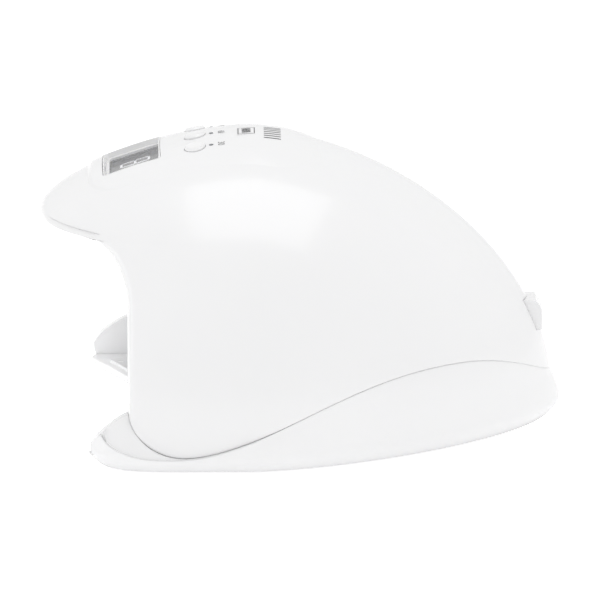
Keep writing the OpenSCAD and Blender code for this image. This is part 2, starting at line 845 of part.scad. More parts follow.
module led_wires() color("dimgray") row() {
    for (s = [-1, 1]) wire([[s * 40, 8, ceiling_board_z + board_t + 0.8], [s * 26, -16, 76],
        [s * 14, wire_end_y, board_under(wire_end_y)]], wire_d);
}

base_shell();
base_floor();
bottom_cover();
base_magnets();
rubber_feet();
base_screws();
hood_shell();
liner();
control_panel();
display_bezel();
display_lens();
display_module();
control_board();
switch_bodies();
light_pipes();
led_board_top();
led_board_left();
led_board_right();
led_board_rear();
led_beads();
motion_sensor();
socket_housing();
socket_contact();
hood_screws();
board_screws();
catch_discs();
power_wires();
led_wires();
button_left();
button_middle();
button_right();
plunger_left();
plunger_middle();
plunger_right();
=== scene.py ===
import json
import math

import bmesh
import bpy
import numpy as np
from mathutils import Euler, Matrix, Vector


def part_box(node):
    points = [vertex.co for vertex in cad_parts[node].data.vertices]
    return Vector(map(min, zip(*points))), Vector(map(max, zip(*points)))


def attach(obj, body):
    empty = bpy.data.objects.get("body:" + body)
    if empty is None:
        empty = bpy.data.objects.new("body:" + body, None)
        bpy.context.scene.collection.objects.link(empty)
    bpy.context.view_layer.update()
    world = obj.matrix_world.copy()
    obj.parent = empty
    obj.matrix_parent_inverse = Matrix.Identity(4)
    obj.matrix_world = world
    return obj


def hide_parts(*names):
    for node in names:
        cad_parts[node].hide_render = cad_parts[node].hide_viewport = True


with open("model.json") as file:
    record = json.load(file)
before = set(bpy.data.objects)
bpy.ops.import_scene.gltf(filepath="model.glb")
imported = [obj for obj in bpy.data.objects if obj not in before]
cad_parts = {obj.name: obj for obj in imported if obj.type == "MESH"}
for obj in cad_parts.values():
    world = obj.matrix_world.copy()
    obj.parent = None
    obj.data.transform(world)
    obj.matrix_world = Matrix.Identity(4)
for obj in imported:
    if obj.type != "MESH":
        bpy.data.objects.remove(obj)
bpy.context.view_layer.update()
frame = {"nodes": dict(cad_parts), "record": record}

# ---------------------------------------------------------------- sizes, in millimetres

MM = 0.001

# Hood: half width, top and rear end, then its crest and beak seen from the side
HOOD_HALF, HOOD_TOP, HOOD_REAR = 88.0, 112.5, 87.0
CREST_Y, BEAK_Y, BEAK_Z = -28.0, -110.5, 82.0
# Front face: its place, the height where it starts to lean out, and how far it leans
FACE_Y, FACE_TOP, FACE_REACH = -76.0, 60.0, 20.0
HOOD_WALL = 2.4
DOME_FOOT = 15.0
# Powers of the oval curves that shape the dome
REAR_CURVE, BROW_CURVE, SIDE_CURVE, PLAN_REAR_CURVE = 1.77, 1.55, 2.0, 1.6
NOSE_LOW = 45.0
NOSE_CURVE_LOW, NOSE_CURVE_DROP = 3.0, 0.8
# How sharply the side turns into the front face, low down and near the beak's lip
CORNER_SHARPNESS, LIP_SHARPNESS = 40.0, 24.0
LIP_START = 4.0
UNDERSIDE, UNDERSIDE_REACH = 0.6, 4.0
# How strongly the columns of the hood gather at the front corners
BODY_BUNCHING = 0.55
# Heights between which the dome's surface is searched
SEARCH_LOW, SEARCH_HIGH, HALVINGS = 60.0, 125.0, 34

# Arch of the hand opening
DOOR_HALF, DOOR_TOP, DOOR_CURVE = 80.0, 47.0, 3.0
DOOR_REACH = -60.0

# Seam between hood and base, seen from the side
SEAM_GAP, SEAM_LOW, SEAM_HIGH, SEAM_REAR = 0.18, 6.0, 34.0, 19.0
CORNER_Y, SEAM_PEAK_Y, SEAM_CORNER = -55.0, 44.0, 18.0
SEAM_CLIMB, SEAM_FALL = 0.85, 2.3

# Base: outline, belt line, walls and deck
BASE_HALF, BASE_REAR, BASE_FRONT, BELT_Z = 89.5, 90.5, -94.0, 8.0
FRONT_CURVE, REAR_PLAN_CURVE = 7.0, 1.48
BELT_TOP, BASE_INSET = 22.0, 0.3
TUCK_SIDE, TUCK_FRONT, TUCK_REAR = 3.5, 5.5, 6.5
BASE_LOW, BASE_WALL, DECK_Z, DECK_T = 0.8, 2.6, 5.0, 1.8
BAY_HALF, BAY_DEPTH, BAY_TUCK, BAY_CURVE = 77.0, 28.0, 4.0, 1.5

# Control panel: outline, rise, corner, then its front step, side blend and sunk edge
PANEL_HALF, PANEL_FRONT, PANEL_BACK, PANEL_RISE, PANEL_CORNER = 34.0, -92.0, 2.0, 1.2, 22.0
PANEL_STEP, PANEL_BLEND, PANEL_SINK = 2.6, 18.0, 0.25
DISPLAY_Y, DISPLAY_W, DISPLAY_L = -74.5, 36.0, 23.0
BEZEL_T, BEZEL_SINK = 2.4, 3.8
BUTTON_Y, BUTTON_PITCH, BUTTON_D = -50.0, 15.0, 8.0
PIPE_Y, PIPE_D = BUTTON_Y + 6.2, 1.4

# Reach of cutting tools that pass right through the lamp
FAR = 300.0

# The row's origin is under the middle of the length, so shapes shift along Y by this much
ROW_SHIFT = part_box("base_shell")[1][1] / MM - BASE_REAR


# ---------------------------------------------------------------- the lamp's surface

def clamp01(v):
    """The value kept between 0 and 1."""
    return np.clip(v, 0.0, 1.0)


def oval(t, n):
    """Quarter of an oval of power n: 1 at the start, 0 at the end."""
    return np.maximum(0.0, 1.0 - clamp01(t) ** n) ** (1.0 / n)


def along(v, start, end):
    """How far a value lies between two others, from 0 to 1."""
    return clamp01((v - start) / (end - start))


def ease(t):
    """A 0 to 1 step with soft ends."""
    return t * t * (3.0 - 2.0 * t)


def half_at(z, g):
    """Half width of the dome at a height; g moves the surface outward."""
    return (HOOD_HALF + g) * oval(along(z, DOME_FOOT, HOOD_TOP + g), SIDE_CURVE)


def rear_at(z, g):
    """Depth of the dome behind its crest."""
    return (HOOD_REAR + g - CREST_Y) * oval(along(z, DOME_FOOT, HOOD_TOP + g), REAR_CURVE)


def brow_at(z, g):
    """Depth of the dome in front of its crest."""
    return (CREST_Y - BEAK_Y + g) * oval(along(z, BEAK_Z, HOOD_TOP + g), BROW_CURVE)


def nose_curve(z):
    return NOSE_CURVE_LOW - NOSE_CURVE_DROP * along(z, NOSE_LOW, BEAK_Z)


def body_radius(a, z, g):
    """Radius of the dome in a direction, before the front face is cut."""
    rear = np.sin(a) > 0
    n = np.where(rear, PLAN_REAR_CURVE, nose_curve(z))
    depth = np.where(rear, rear_at(z, g), brow_at(z, g))
    side = np.abs(np.cos(a)) / np.maximum(half_at(z, g), 0.01)
    ahead = np.abs(np.sin(a)) / np.maximum(depth, 0.01)
    return 1.0 / (side ** n + ahead ** n) ** (1.0 / n)


def face_depth(z, g):
    """Depth of the front face in front of the crest, leaning out to the beak."""
    lift = z + g
    beak = (FACE_Y - FACE_REACH - BEAK_Y + UNDERSIDE_REACH) * along(lift, BEAK_Z - UNDERSIDE, BEAK_Z)
    curve = FACE_REACH * (1.0 - oval(along(lift, FACE_TOP, BEAK_Z), 2.0))
    return CREST_Y - FACE_Y + g + curve + beak + np.maximum(0.0, lift - BEAK_Z) * 3.0


def ring_radius(a, z, g):
    """Radius of the whole hood: the dome, blended into the front face at the corners."""
    body = body_radius(a, z, g)
    face = face_depth(z, g) / np.maximum(-np.sin(a), 1e-4)
    lip = ease(along(z, FACE_TOP, BEAK_Z - LIP_START))
    k = CORNER_SHARPNESS - (CORNER_SHARPNESS - LIP_SHARPNESS) * lip
    return np.where(np.sin(a) > 0, body, (body ** -k + face ** -k) ** (-1.0 / k))


def corner_of(z, g):
    """Half width and depth of the corner between side and front face."""
    level = np.minimum(z, BEAK_Z - g - UNDERSIDE)
    depth = face_depth(level, g)
    return half_at(level, g) * oval(depth / brow_at(level, g), nose_curve(level)), depth


def ring_angles(z, g, body_count, face_count):
    """Angles of one ring's points: round the body, then back across the front face."""
    x, depth = corner_of(z, g)
    dip = np.arctan2(depth, x)
    u = np.arange(body_count + 1) / body_count
    share = u - BODY_BUNCHING * np.sin(4.0 * math.pi * u) / (4.0 * math.pi)
    body = (math.pi + 2.0 * dip) * share - dip
    t = -np.cos(math.pi * np.arange(1, face_count) / face_count)
    face = np.arctan2(-depth, x * t)
    return np.concatenate([body, face])


def dome_points(a, z, g):
    r = ring_radius(a, z, g)
    return np.stack([r * np.cos(a), CREST_Y + r * np.sin(a), z + 0.0 * r], axis=-1)


def dome_height(x, y, g=0.0):
    """Height of the dome above a point of the plan, by halving."""
    x, y = np.broadcast_arrays(np.asarray(x, float), np.asarray(y, float))
    low, high = np.full(x.shape, SEARCH_LOW), np.full(x.shape, SEARCH_HIGH)
    reach, a = np.hypot(x, y - CREST_Y), np.arctan2(y - CREST_Y, x)
    for _ in range(HALVINGS):
        mid = (low + high) / 2.0
        inside = reach < ring_radius(a, mid, g)
        low, high = np.where(inside, mid, low), np.where(inside, high, mid)
    return (low + high) / 2.0


def on_dome(x, y, lift=0.0):
    """Frame on the dome with +Z outward, in metres, as the CAD places its controls."""
    pitch = math.atan((dome_height(x, y + 3) - dome_height(x, y - 3)) / 6.0)
    roll = math.atan((dome_height(x - 3, y) - dome_height(x + 3, y)) / 6.0)
    place = Matrix.Translation(place_m(x, y, float(dome_height(x, y))))
    return place @ Euler((pitch, roll, 0.0)).to_matrix().to_4x4() @ Matrix.Translation((0, 0, lift * MM))


def seam_at(y):
    """Height of the seam: low corner in front, a climb along the side, a fall to the rear."""
    corner = SEAM_LOW + SEAM_CORNER - SEAM_CORNER * oval((y - CORNER_Y) / (FACE_Y - CORNER_Y), 2.0)
    climb = along(y, CORNER_Y, SEAM_PEAK_Y) ** SEAM_CLIMB
    side = SEAM_LOW + (SEAM_HIGH - SEAM_LOW) * (1.0 - np.cos(math.pi * climb)) / 2.0
    rear = SEAM_HIGH - (SEAM_HIGH - SEAM_REAR) * along(y, SEAM_PEAK_Y, HOOD_REAR) ** SEAM_FALL
    return np.where(y < CORNER_Y, corner, np.where(y < SEAM_PEAK_Y, side, rear))


def belt_radius(a, z, g):
    """Radius of the base below its belt, tucked in toward the underside."""
    tuck = (1.0 - clamp01(z / BELT_Z)) ** 2
    rear = np.sin(a) > 0
    n = np.where(rear, REAR_PLAN_CURVE, FRONT_CURVE)
    behind = BASE_REAR - CREST_Y - TUCK_REAR * tuck
    depth = np.where(rear, behind, CREST_Y - BASE_FRONT - TUCK_FRONT * tuck) + g
    half = BASE_HALF - TUCK_SIDE * tuck + g
    return 1.0 / ((np.abs(np.cos(a)) / half) ** n + (np.abs(np.sin(a)) / depth) ** n) ** (1.0 / n)


def base_radius(a, z, g):
    """Radius of the base, which turns into the hood's surface above the belt."""
    blend = ease(along(z, BELT_Z, BELT_TOP))
    mixed = belt_radius(a, z, g) * (1.0 - blend) + ring_radius(a, z, g - BASE_INSET) * blend
    return np.where(np.sin(a) > 0, mixed, belt_radius(a, z, g))


def bay_y(x):
    """Front edge of the deck, curved back between the horns."""
    return BASE_FRONT + BAY_DEPTH * (1.0 - clamp01(np.abs(x) / BAY_HALF) ** BAY_CURVE)


# ---------------------------------------------------------------- mesh helpers

def place_m(x, y, z):
    """A point of the design, in metres, moved to the row's origin."""
    return Vector((x * MM, (y + ROW_SHIFT) * MM, z * MM))


def to_metres(points):
    return (np.asarray(points, float) + [0.0, ROW_SHIFT, 0.0]) * MM


def new_piece(name, verts, faces, smooth=True):
    mesh = bpy.data.meshes.new(name)
    mesh.from_pydata([tuple(v) for v in verts], [], faces)
    mesh.validate()
    mesh.update()
    obj = bpy.data.objects.new(name, mesh)
    bpy.context.scene.collection.objects.link(obj)
    if smooth:
        mesh.shade_smooth()
    return obj


def strip_faces(rows, cols, wrap=True):
    """Quads between the rows of a grid; columns close up where wrap is set."""
    span = cols if wrap else cols - 1
    return [(i * cols + j, i * cols + (j + 1) % cols, (i + 1) * cols + (j + 1) % cols, (i + 1) * cols + j)
            for i in range(rows - 1) for j in range(span)]


def closed_skin(name, rings):
    """Closed surface over a stack of rings with flat ends."""
    rows, cols = len(rings), len(rings[0])
    faces = strip_faces(rows, cols)
    faces.append(tuple(range(cols - 1, -1, -1)))
    faces.append(tuple((rows - 1) * cols + j for j in range(cols)))
    return new_piece(name, to_metres(np.concatenate(rings)), faces)


def prism(name, outline, low, high, plane):
    """Extrudes an outline: plane "YZ" runs along X, "XZ" along Y and "XY" along Z."""
    layers = []
    for level in (low, high):
        for p, q in outline:
            layers.append({"YZ": (level, p, q), "XZ": (p, level, q), "XY": (p, q, level)}[plane])
    n = len(outline)
    faces = [(j, (j + 1) % n, n + (j + 1) % n, n + j) for j in range(n)]
    faces += [tuple(range(n - 1, -1, -1)), tuple(range(n, 2 * n))]
    obj = new_piece(name, to_metres(layers), faces, smooth=False)
    recalculate(obj)
    return obj


def recalculate(obj):
    """Turns every face outward."""
    bm = bmesh.new()
    bm.from_mesh(obj.data)
    bmesh.ops.recalc_face_normals(bm, faces=bm.faces)
    bm.to_mesh(obj.data)
    bm.free()


def cylinder_at(name, place, radius, low, high, count=64):
    angles = [2.0 * math.pi * j / count for j in range(count)]
    verts = [place @ Vector((radius * MM * math.cos(t), radius * MM * math.sin(t), level * MM))
             for level in (low, high) for t in angles]
    faces = strip_faces(2, count) + [tuple(range(count - 1, -1, -1)), tuple(range(count, 2 * count))]
    return new_piece(name, verts, faces, smooth=False)


def rounded_outline(w, l, r, count=10):
    """Rectangle with rounded corners, counter-clockwise."""
    points = []
    for quarter, (sx, sy) in enumerate([(1, 1), (-1, 1), (-1, -1), (1, -1)]):
        for k in range(count + 1):
            t = math.pi / 2 * (quarter + k / count)
            points.append((sx * (w / 2 - r) + r * math.cos(t), sy * (l / 2 - r) + r * math.sin(t)))
    return points


def plate_at(name, place, outline, low, high):
    """Flat plate with an outline, between two levels of a tilted frame."""
    n = len(outline)
    verts = [place @ Vector((p * MM, q * MM, level * MM)) for level in (low, high) for p, q in outline]
    faces = strip_faces(2, n) + [tuple(range(n - 1, -1, -1)), tuple(range(n, 2 * n))]
    return new_piece(name, verts, faces, smooth=False)


def apply_modifiers(obj):
    bpy.context.view_layer.update()
    graph = bpy.context.evaluated_depsgraph_get()
    mesh = bpy.data.meshes.new_from_object(obj.evaluated_get(graph))
    obj.modifiers.clear()
    old = obj.data
    obj.data = mesh
    bpy.data.meshes.remove(old)
    obj.data.name = obj.name


def cut(obj, tool, operation="DIFFERENCE"):
    """Cuts, joins or intersects with a tool, which is used up."""
    modifier = obj.modifiers.new("cut", "BOOLEAN")
    modifier.operation = operation
    modifier.solver = "MANIFOLD"
    modifier.object = tool
    apply_modifiers(obj)
    bpy.data.objects.remove(tool)


def soften(obj, width, angle=40.0, segments=3):
    """Rounds every edge sharper than the angle, then smooths the shading."""
    modifier = obj.modifiers.new("soften", "BEVEL")
    modifier.width = width * MM
    modifier.segments = segments
    modifier.limit_method = "ANGLE"
    modifier.angle_limit = math.radians(angle)
    modifier.harden_normals = False
    apply_modifiers(obj)
    obj.data.shade_smooth()


def sharp_above(obj, angle):
    obj.data.shade_smooth()
    obj.data.set_sharp_from_angle(angle=math.radians(angle))


def round_corners(points, passes=3):
    """Cuts the corners of an open outline, keeping its ends."""
    for _ in range(passes):
        rounded = [points[0]]
        for p, q in zip(points[:-1], points[1:]):
            p, q = np.asarray(p), np.asarray(q)
            rounded += [tuple(0.75 * p + 0.25 * q), tuple(0.25 * p + 0.75 * q)]
        points = rounded + [points[-1]]
    return points


# ---------------------------------------------------------------- materials

def make_material(name):
    material = bpy.data.materials.new(name)
    material.use_nodes = True
    tree = material.node_tree
    return material, tree, tree.nodes["Principled BSDF"]


def noise(tree, scale, detail=3.0):
    place = tree.nodes.new("ShaderNodeTexCoord")
    texture = tree.nodes.new("ShaderNodeTexNoise")
    texture.inputs["Scale"].default_value = scale
    texture.inputs["Detail"].default_value = detail
    tree.links.new(place.outputs["Object"], texture.inputs["Vector"])
    return texture.outputs["Fac"]


def spread(tree, factor, low, high):
    """Maps a 0 to 1 factor onto a range of values."""
    mapped = tree.nodes.new("ShaderNodeMapRange")
    mapped.inputs["From Min"].default_value = 0.3
    mapped.inputs["From Max"].default_value = 0.7
    mapped.inputs["To Min"].default_value = low
    mapped.inputs["To Max"].default_value = high
    tree.links.new(factor, mapped.inputs["Value"])
    return mapped.outputs["Result"]


def tint(tree, factor, dark, light):
    """Mixes two colours by a factor."""
    factor_in, dark_in, light_in, color_out = 0, 6, 7, 2
    mix = tree.nodes.new("ShaderNodeMix")
    mix.data_type = "RGBA"
    mix.inputs[dark_in].default_value = (*dark, 1.0)
    mix.inputs[light_in].default_value = (*light, 1.0)
    tree.links.new(factor, mix.inputs[factor_in])
    return mix.outputs[color_out]


def relief(tree, shader, height, strength, distance, edge=0.0):
    """Fine surface relief, with edges rounded in the shading where edge is set, in millimetres."""
    bump = tree.nodes.new("ShaderNodeBump")
    bump.inputs["Strength"].default_value = strength
    bump.inputs["Distance"].default_value = distance
    tree.links.new(height, bump.inputs["Height"])
    if edge > 0.0:
        bevel = tree.nodes.new("ShaderNodeBevel")
        bevel.samples = 6
        bevel.inputs["Radius"].default_value = edge * MM
        tree.links.new(bevel.outputs["Normal"], bump.inputs["Normal"])
    tree.links.new(bump.outputs["Normal"], shader.inputs["Normal"])


def moulded_plastic(name, light, rough, grain=0.012, coat=0.25, edge=0.0, glow=0.06):
    """Moulded plastic: slight mottling, uneven polish and a fine flow texture under a clear skin."""
    material, tree, shader = make_material(name)
    dark = tuple(c * 0.975 for c in light)
    tree.links.new(tint(tree, noise(tree, 22.0), dark, light), shader.inputs["Base Color"])
    tree.links.new(spread(tree, noise(tree, 70.0), rough * 0.85, rough * 1.2), shader.inputs["Roughness"])
    shader.inputs["Coat Weight"].default_value = coat
    shader.inputs["Coat Roughness"].default_value = 0.06
    shader.inputs["Subsurface Weight"].default_value = glow
    shader.inputs["Subsurface Radius"].default_value = (0.002, 0.002, 0.0018)
    shader.inputs["IOR"].default_value = 1.49
    relief(tree, shader, noise(tree, 900.0, 2.0), grain, 0.0002, edge)
    return material


def metal(name, color, rough, grain=0.03, scale=1400.0):
    """Metal with uneven polish and fine grain."""
    material, tree, shader = make_material(name)
    shader.inputs["Metallic"].default_value = 1.0
    dark = tuple(c * 0.9 for c in color)
    tree.links.new(tint(tree, noise(tree, 300.0), dark, color), shader.inputs["Base Color"])
    tree.links.new(spread(tree, noise(tree, 90.0), rough * 0.75, rough * 1.3), shader.inputs["Roughness"])
    relief(tree, shader, noise(tree, scale), grain, 0.0002)
    return material


def clear_plastic(name, color, rough, transmission, glow=0.0, sheen=0.5):
    """Clear or glowing plastic with uneven polish."""
    material, tree, shader = make_material(name)
    tree.links.new(tint(tree, noise(tree, 60.0), tuple(c * 0.96 for c in color), color),
                   shader.inputs["Base Color"])
    tree.links.new(spread(tree, noise(tree, 200.0), rough * 0.8, rough * 1.2), shader.inputs["Roughness"])
    shader.inputs["Transmission Weight"].default_value = transmission
    shader.inputs["IOR"].default_value = 1.45
    shader.inputs["Specular IOR Level"].default_value = sheen
    if glow > 0.0:
        shader.inputs["Emission Color"].default_value = (*color, 1.0)
        shader.inputs["Emission Strength"].default_value = glow
    return material


def rubber(name):
    """Dark matt rubber."""
    material, tree, shader = make_material(name)
    tree.links.new(tint(tree, noise(tree, 120.0), (0.03, 0.03, 0.032), (0.06, 0.06, 0.062)),
                   shader.inputs["Base Color"])
    shader.inputs["Roughness"].default_value = 0.82
    relief(tree, shader, noise(tree, 1800.0), 0.25, 0.0003)
    return material


def circuit_board(name, mask, trace):
    """Solder mask with a grid of faint traces under it."""
    material, tree, shader = make_material(name)
    place = tree.nodes.new("ShaderNodeTexCoord")
    bricks = tree.nodes.new("ShaderNodeTexBrick")
    bricks.inputs["Scale"].default_value = 160.0
    bricks.inputs["Mortar Size"].default_value = 0.03
    bricks.inputs["Color1"].default_value = (*mask, 1.0)
    bricks.inputs["Color2"].default_value = (*tuple(c * 0.9 for c in mask), 1.0)
    bricks.inputs["Mortar"].default_value = (*trace, 1.0)
    tree.links.new(place.outputs["Object"], bricks.inputs["Vector"])
    tree.links.new(bricks.outputs["Color"], shader.inputs["Base Color"])
    tree.links.new(spread(tree, noise(tree, 90.0), 0.3, 0.45), shader.inputs["Roughness"])
    relief(tree, shader, bricks.outputs["Fac"], 0.2, 0.0001)
    return material


def flat_ink(name, color):
    """Printed ink."""
    material, tree, shader = make_material(name)
    tree.links.new(tint(tree, noise(tree, 700.0), tuple(c * 0.8 for c in color), color),
                   shader.inputs["Base Color"])
    shader.inputs["Roughness"].default_value = 0.45
    return material


def make_materials():
    white = (0.885, 0.885, 0.89)
    return {
        "shell_white": moulded_plastic("shell_white", white, 0.2, edge=0.5),
        "base_white": moulded_plastic("base_white", white, 0.22, edge=0.7),
        "floor_white": moulded_plastic("floor_white", (0.87, 0.87, 0.875), 0.25, edge=0.4),
        "satin_white": moulded_plastic("satin_white", (0.84, 0.84, 0.845), 0.5,
                                       grain=0.08, coat=0.0, edge=0.3),
        "trim_white": moulded_plastic("trim_white", (0.88, 0.88, 0.885), 0.25, edge=0.25),
        "bezel_white": moulded_plastic("bezel_white", (0.88, 0.88, 0.885), 0.25, edge=0.25, glow=0.35),
        "button_white": moulded_plastic("button_white", (0.9, 0.9, 0.905), 0.2, edge=0.3),
        "reflector": metal("reflector", (0.8, 0.81, 0.83), 0.22),
        "nickel": metal("nickel", (0.72, 0.71, 0.7), 0.18),
        "steel": metal("steel", (0.56, 0.56, 0.57), 0.32),
        "rubber": rubber("rubber"),
        "smoked_window": clear_plastic("smoked_window", (0.88, 0.88, 0.9), 0.03, 1.0, sheen=0.1),
        "display_black": moulded_plastic("display_black", (0.09, 0.09, 0.092), 0.6, coat=0.0, glow=0.0),
        "board_green": circuit_board("board_green", (0.02, 0.16, 0.06), (0.05, 0.3, 0.12)),
        "switch_black": moulded_plastic("switch_black", (0.03, 0.03, 0.032), 0.4, coat=0.0, glow=0.0),
        "light_pipe": clear_plastic("light_pipe", (0.45, 0.47, 0.5), 0.15, 0.5),
        "led_board": circuit_board("led_board", (0.8, 0.8, 0.8), (0.62, 0.62, 0.6)),
        "bead_resin": clear_plastic("bead_resin", (0.85, 0.83, 0.62), 0.12, 0.45),
        "sensor_black": moulded_plastic("sensor_black", (0.012, 0.012, 0.016), 0.12, coat=0.6, glow=0.0),
        "contact_brass": metal("contact_brass", (0.78, 0.6, 0.3), 0.25),
        "wire_red": moulded_plastic("wire_red", (0.5, 0.03, 0.025), 0.45, coat=0.0, glow=0.0),
        "wire_black": moulded_plastic("wire_black", (0.03, 0.03, 0.03), 0.45, coat=0.0, glow=0.0),
        "print_grey": flat_ink("print_grey", (0.1, 0.1, 0.105)),
        "digit_light": clear_plastic("digit_light", (0.9, 0.9, 0.91), 0.4, 0.0, glow=0.7),
    }


MATERIALS = make_materials()


def finish_piece(obj, body, material):
    """Dresses a new piece and ties it to its body."""
    obj.data.materials.clear()
    obj.data.materials.append(MATERIALS[material])
    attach(obj, body)
    return obj


# ---------------------------------------------------------------- hood

# Counts of columns round the body and across the front face, and of rows from the seam to the top
BODY_COLS, FACE_COLS = 220, 110
ROWS_SIDE, ROWS_BEND, ROWS_UNDER, ROWS_BROW = 34, 30, 26, 70
# Rows on each side of the beak's lip that are averaged, and how often
LIP_ROWS, LIP_PASSES = 13, 22
FRONT_BLEND = (0.02, 0.12)
POLE_ANGLE = math.radians(89.0)
BROW_BUNCHING = 1.35
BOTTOM_LOW, BOTTOM_HIGH, BOTTOM_HALVINGS = 3.0, 59.0, 30
HOOD_EDGE, HOOD_EDGE_ANGLE = 0.25, 55.0


def hood_bottom(body_count, face_count):
    """Height where each column of the hood starts: the seam, or the arch of the hand opening."""
    columns = body_count + face_count
    low, high = np.full(columns, BOTTOM_LOW), np.full(columns, BOTTOM_HIGH)
    for _ in range(BOTTOM_HALVINGS):
        mid = (low + high) / 2.0
        kept = np.empty(columns, bool)
        for j in range(columns):
            a = ring_angles(mid[j], 0.0, body_count, face_count)[j]
            x, y, z = dome_points(a, mid[j], 0.0)
            arch = (abs(x) / DOOR_HALF) ** DOOR_CURVE + (z / DOOR_TOP) ** DOOR_CURVE
            in_door = y < DOOR_REACH and arch < 1.0
            kept[j] = not in_door and z > seam_at(y) + SEAM_GAP / 2
        low, high = np.where(kept, low, mid), np.where(kept, mid, high)
    return high


def front_share(body_count, face_count):
    """1 for columns on the front face and 0 round the body, with a short blend between."""
    u = np.arange(body_count + 1) / body_count
    near = np.minimum(u, 1.0 - u)
    return np.concatenate([1.0 - ease(along(near, *FRONT_BLEND)), np.ones(face_count - 1)])


def hood_levels(bottom, share):
    """Heights of the rows in every column."""
    rows = ROWS_SIDE + ROWS_BEND + ROWS_UNDER + ROWS_BROW
    t = np.linspace(0.0, 1.0, rows)
    start = np.arcsin(np.clip((bottom - DOME_FOOT) / (HOOD_TOP - DOME_FOOT), -1, 1))
    turn = start[None, :] + (POLE_ANGLE - start[None, :]) * t[:, None]
    around = DOME_FOOT + (HOOD_TOP - DOME_FOOT) * np.sin(turn)
    lip = BEAK_Z - UNDERSIDE
    climb = np.linspace(0, 1, ROWS_SIDE, endpoint=False)[:, None]
    side = bottom[None, :] + (FACE_TOP - bottom[None, :]) * climb
    bend = lip - (lip - FACE_TOP) * np.cos(math.pi / 2 * np.linspace(0, 1, ROWS_BEND, endpoint=False))
    under = lip + UNDERSIDE * np.sin(math.pi / 2 * np.linspace(0, 1, ROWS_UNDER, endpoint=False))
    rise = math.asin((BEAK_Z - DOME_FOOT) / (HOOD_TOP - DOME_FOOT))
    brow = DOME_FOOT + (HOOD_TOP - DOME_FOOT) * np.sin(rise + (POLE_ANGLE - rise)
                                                      * np.linspace(0, 1, ROWS_BROW) ** BROW_BUNCHING)
    fixed = np.concatenate([bend, under, brow])[:, None] + 0.0 * bottom[None, :]
    front = np.concatenate([side, fixed])
    return around * (1.0 - share) + front * share


def round_lip(points, share):
    """Rounds the lip of the beak by averaging along each front column near it."""
    lip = ROWS_SIDE + ROWS_BEND + ROWS_UNDER
    span = slice(lip - LIP_ROWS, lip + LIP_ROWS)
    for _ in range(LIP_PASSES):
        middle = (points[:-2] + points[2:]) / 2.0
        moved = points.copy()
        moved[1:-1] = points[1:-1] * 0.5 + middle * 0.5
        window = np.zeros(len(points))
        window[span] = np.hanning(2 * LIP_ROWS)
        weight = window[:, None, None] * share[None, :, None]
        points = points * (1.0 - weight) + moved * weight
    return points


def ring_angle_grid(levels):
    """The ring angle of every point of a grid of heights, column by column."""
    x, depth = corner_of(levels, 0.0)
    dip = np.arctan2(depth, x)
    u = np.arange(BODY_COLS + 1) / BODY_COLS
    share = u - BODY_BUNCHING * np.sin(4.0 * math.pi * u) / (4.0 * math.pi)
    t = -np.cos(math.pi * np.arange(1, FACE_COLS) / FACE_COLS)
    body = (math.pi + 2.0 * dip[:, :BODY_COLS + 1]) * share - dip[:, :BODY_COLS + 1]
    face = np.arctan2(-depth[:, BODY_COLS + 1:], x[:, BODY_COLS + 1:] * t)
    return np.concatenate([body, face], axis=1)


def build_hood():
    """The hood's shell, with its openings."""
    bottom = hood_bottom(BODY_COLS, FACE_COLS)
    share = front_share(BODY_COLS, FACE_COLS)
    levels = hood_levels(bottom, share)
    points = dome_points(ring_angle_grid(levels), levels, 0.0)
    points = round_lip(points, share)
    rows, cols = levels.shape
    verts = np.concatenate([points.reshape(-1, 3), [[0.0, CREST_Y, HOOD_TOP]]])
    faces = strip_faces(rows, cols)
    pole = rows * cols
    faces += [((rows - 1) * cols + j, (rows - 1) * cols + (j + 1) % cols, pole) for j in range(cols)]
    hood = new_piece("hood_outer", to_metres(verts), faces)
    wall = hood.modifiers.new("wall", "SOLIDIFY")
    wall.thickness = HOOD_WALL * MM
    wall.offset = -1.0
    wall.use_even_offset = False
    apply_modifiers(hood)
    soften(hood, HOOD_EDGE, angle=HOOD_EDGE_ANGLE)
    cut_controls(hood)
    cut(hood, socket_tool())
    sharp_above(hood, 35.0)
    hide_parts("hood_shell")
    return finish_piece(hood, "hood", "shell_white")


SOCKET_GAP, SOCKET_FRONT, SOCKET_BACK = 0.2, 60.0, 100.0


def socket_tool():
    """Opening in the rear of the hood, a little larger than the socket's block."""
    low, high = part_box("socket_housing")
    gap = SOCKET_GAP * MM
    left, down = (low[0] - gap) / MM, (low[2] - gap) / MM
    right, up = (high[0] + gap) / MM, (high[2] + gap) / MM
    outline = [(left, down), (right, down), (right, up), (left, up)]
    return prism("socket_gap", outline, SOCKET_FRONT, SOCKET_BACK, "XZ")


# Room round the display, the buttons and the lights, and the reach of the tools that cut them
DISPLAY_ROOM, DISPLAY_HOLE_CORNER, BUTTON_ROOM, PIPE_ROOM, HOLE_REACH = 0.4, 2.0, 0.2, 0.15, 15.0


def cut_controls(obj):
    """Openings for the display, the buttons and the indicator lights."""
    span = (-HOLE_REACH, HOLE_REACH)
    outline = rounded_outline(DISPLAY_W + DISPLAY_ROOM, DISPLAY_L + DISPLAY_ROOM, DISPLAY_HOLE_CORNER)
    cut(obj, plate_at("display_hole", on_dome(0.0, DISPLAY_Y), outline, *span))
    for x in (-BUTTON_PITCH, 0.0, BUTTON_PITCH):
        cut(obj, cylinder_at("button_hole", on_dome(x, BUTTON_Y), BUTTON_D / 2 + BUTTON_ROOM, *span))
        cut(obj, cylinder_at("pipe_hole", on_dome(x, PIPE_Y), PIPE_D / 2 + PIPE_ROOM, *span, 24))


# ---------------------------------------------------------------- control panel

PANEL_STRIDE = 2.5


